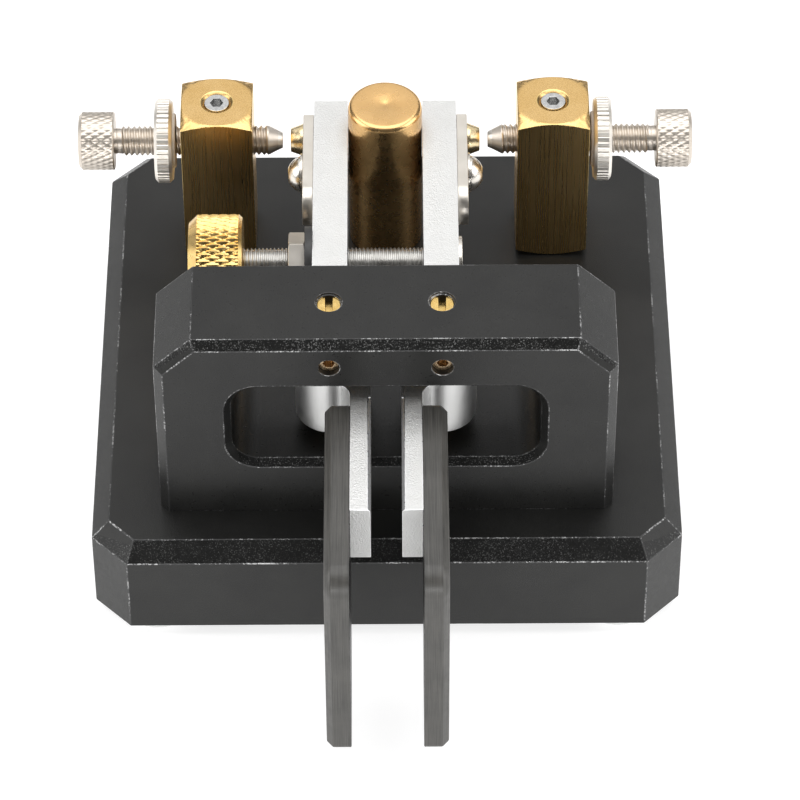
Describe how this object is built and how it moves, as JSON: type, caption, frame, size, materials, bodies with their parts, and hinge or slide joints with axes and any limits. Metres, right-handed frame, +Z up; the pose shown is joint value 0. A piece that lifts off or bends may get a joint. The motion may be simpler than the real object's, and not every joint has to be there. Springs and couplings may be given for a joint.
{
  "type": "morse key",
  "caption": "Dual-lever morse paddle: two pivoted arms with finger plates in a bridge on a square base, with adjustable contacts and magnetic return.",
  "frame": {"origin": "on the table plane under the feet, at the middle of the whole key's width and depth", "axes": "+X to the operator's right, +Y away from the operator, +Z up"},
  "size_m": [0.0808, 0.1002, 0.0458],
  "materials": {
    "base_black": "satin black coat on steel",
    "bridge_black": "satin black anodised",
    "arm_alloy": "bead blasted",
    "laminate": "fine layered laminate, matt",
    "post_brass": "brushed",
    "stop_brass": "turned and polished",
    "knob_brass": "bright, knurled",
    "contact_brass": "bright turned",
    "screw_brass": "bright turned",
    "nickel": "nickel plated",
    "stainless": "turned stainless",
    "plate_nickel": "satin nickel plated strip",
    "silver": "plain silver",
    "steel": "zinc plated",
    "bearing_steel": "ground",
    "black_steel": "black oxide",
    "black_nylon": "plain",
    "white_nylon": "plain",
    "foot_rubber": "clear grey bumper",
    "cover_black": "matt",
    "jack_black": "moulded",
    "tin": "tinned",
    "wire_red": "insulation"
  },
  "bodies": {
    "base": {"base": "base_black", "base_cover": "cover_black", "base_cover_screws": "steel", "feet": "foot_rubber", "bridge": "bridge_black", "bridge_screws": "steel", "pivot_screws": "screw_brass", "lower_pivot_pins": "screw_brass", "pivot_lock_screws": "steel", "left_post": "post_brass", "right_post": "post_brass", "post_washers": "black_nylon", "post_bushes": "white_nylon", "post_screws": "steel", "post_grub_screws": "stainless", "centre_post": "stop_brass", "centre_post_screw": "steel", "jack_socket": "jack_black", "jack_nut": "nickel", "solder_tags": "tin", "jack_wires": "wire_red"},
    "left_arm": {"left_arm": "arm_alloy", "left_arm_bearings": "bearing_steel", "left_paddle": "laminate", "left_paddle_screws": "black_steel", "left_contact_plate": "plate_nickel", "left_arm_contact": "contact_brass", "left_plate_washer": "nickel", "left_plate_screw": "nickel", "tension_washer": "black_nylon"},
    "right_arm": {"right_arm": "arm_alloy", "right_arm_bearings": "bearing_steel", "right_paddle": "laminate", "right_paddle_screws": "black_steel", "right_contact_plate": "plate_nickel", "right_arm_contact": "contact_brass", "right_plate_washer": "nickel", "right_plate_screw": "nickel", "arm_magnet": "nickel"},
    "left_contact_tip": {"left_contact_tip": "silver"},
    "left_contact_screw": {"left_contact_screw": "stainless"},
    "left_lock_nut": {"left_lock_nut": "nickel"},
    "right_contact_tip": {"right_contact_tip": "silver"},
    "right_contact_screw": {"right_contact_screw": "stainless"},
    "right_lock_nut": {"right_lock_nut": "nickel"},
    "rod_magnet": {"rod_magnet": "nickel"},
    "tension_rod": {"tension_rod": "stainless", "tension_knob": "knob_brass"},
    "tension_nut": {"tension_nut": "nickel"}
  },
  "joints": [
    {"name": "left_arm_swing", "type": "hinge", "parent": "base", "child": "left_arm", "pos_m": [-0.007, -0.01285, 0.0313], "axis": [0, 0, 1], "range_deg": [0, 1.3], "stiffness_Nm_per_rad": 0.3, "springref_deg": -1.15},
    {"name": "left_contact_advance", "type": "slide", "parent": "base", "child": "left_contact_tip", "axis": [-1, 0, 0], "range_m": [0, 0.0014]},
    {"name": "left_contact_turn", "type": "hinge", "parent": "left_contact_tip", "child": "left_contact_screw", "pos_m": [-0.03, 0.03045, 0.033], "axis": [-1, 0, 0], "range_deg": [0, 720]},
    {"name": "left_lock_nut_turn", "type": "hinge", "parent": "left_contact_tip", "child": "left_lock_nut", "pos_m": [-0.028, 0.03045, 0.033], "axis": [-1, 0, 0], "range_deg": [0, 180]},
    {"name": "right_arm_swing", "type": "hinge", "parent": "base", "child": "right_arm", "pos_m": [0.007, -0.01285, 0.0313], "axis": [0, 0, -1], "range_deg": [0, 1.3], "stiffness_Nm_per_rad": 0.3, "springref_deg": -1.15},
    {"name": "right_contact_advance", "type": "slide", "parent": "base", "child": "right_contact_tip", "axis": [1, 0, 0], "range_m": [0, 0.0014]},
    {"name": "right_contact_turn", "type": "hinge", "parent": "right_contact_tip", "child": "right_contact_screw", "pos_m": [0.03, 0.03045, 0.033], "axis": [1, 0, 0], "range_deg": [0, 720]},
    {"name": "right_lock_nut_turn", "type": "hinge", "parent": "right_contact_tip", "child": "right_lock_nut", "pos_m": [0.028, 0.03045, 0.033], "axis": [1, 0, 0], "range_deg": [0, 180]},
    {"name": "tension_advance", "type": "slide", "parent": "left_arm", "child": "rod_magnet", "axis": [1, 0, 0], "range_m": [-0.001, 0.00075]},
    {"name": "tension_turn", "type": "hinge", "parent": "rod_magnet", "child": "tension_rod", "pos_m": [-0.02, 0.00885, 0.0313], "axis": [1, 0, 0], "range_deg": [-720, 540]},
    {"name": "tension_nut_turn", "type": "hinge", "parent": "left_arm", "child": "tension_nut", "pos_m": [-0.0115, 0.00885, 0.0313], "axis": [-1, 0, 0], "range_deg": [0, 180]}
  ],
  "couplings": [
    {"joint": "left_contact_turn", "follows": "left_contact_advance", "rad_per_m": 8976},
    {"joint": "right_contact_turn", "follows": "right_contact_advance", "rad_per_m": 8976},
    {"joint": "tension_turn", "follows": "tension_advance", "rad_per_m": 12566}
  ]
}
